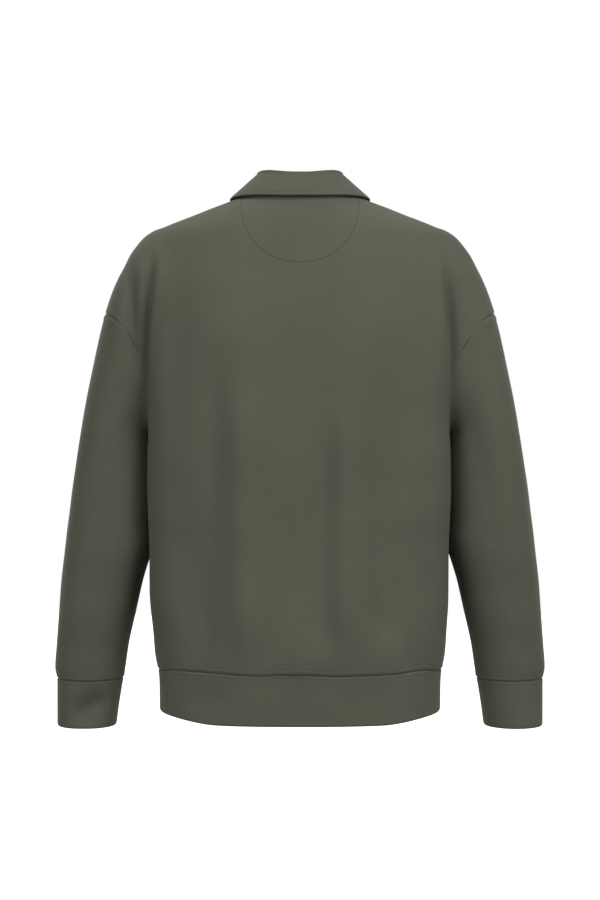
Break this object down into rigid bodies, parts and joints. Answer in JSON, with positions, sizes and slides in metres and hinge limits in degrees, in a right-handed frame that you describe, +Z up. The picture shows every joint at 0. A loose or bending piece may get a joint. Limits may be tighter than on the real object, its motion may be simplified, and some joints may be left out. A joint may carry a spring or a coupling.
{
  "type": "half zip sweatshirt",
  "caption": "Long-sleeved half zip sweatshirt with a turned-down collar, dropped shoulders, plain cuffs and a plain hem band, filled out as worn.",
  "frame": {"origin": "middle of the neck, level with the high points of the shoulders, where the wearer's shoulders hold the garment", "axes": "+Z up, -Y the garment's front, +X the wearer's left"},
  "size_m": [0.6576, 0.2603, 0.7386],
  "materials": {
    "fleece": "matte smooth-faced fleece jersey",
    "zip_tape": "matte woven tape",
    "zip_teeth": "satin moulded teeth",
    "zip_metal": "satin painted metal"
  },
  "bodies": {
    "garment": {"back_panel": "fleece", "front_panel": "fleece", "sleeve_left": "fleece", "sleeve_right": "fleece", "cuff_left": "fleece", "cuff_right": "fleece", "hem_band": "fleece", "collar": "fleece", "neck_patch": "fleece", "zip_tape_left": "zip_tape", "zip_tape_right": "zip_tape", "zip_chain": "zip_teeth", "zip_slider": "zip_metal"},
    "pull": {"zip_pull": "zip_metal"}
  },
  "joints": [
    {"name": "pull_hinge", "type": "hinge", "parent": "garment", "child": "pull", "pos_m": [0, -0.09876, -0.07392], "axis": [-1, 0, 0], "range_deg": [0, 165]}
  ]
}
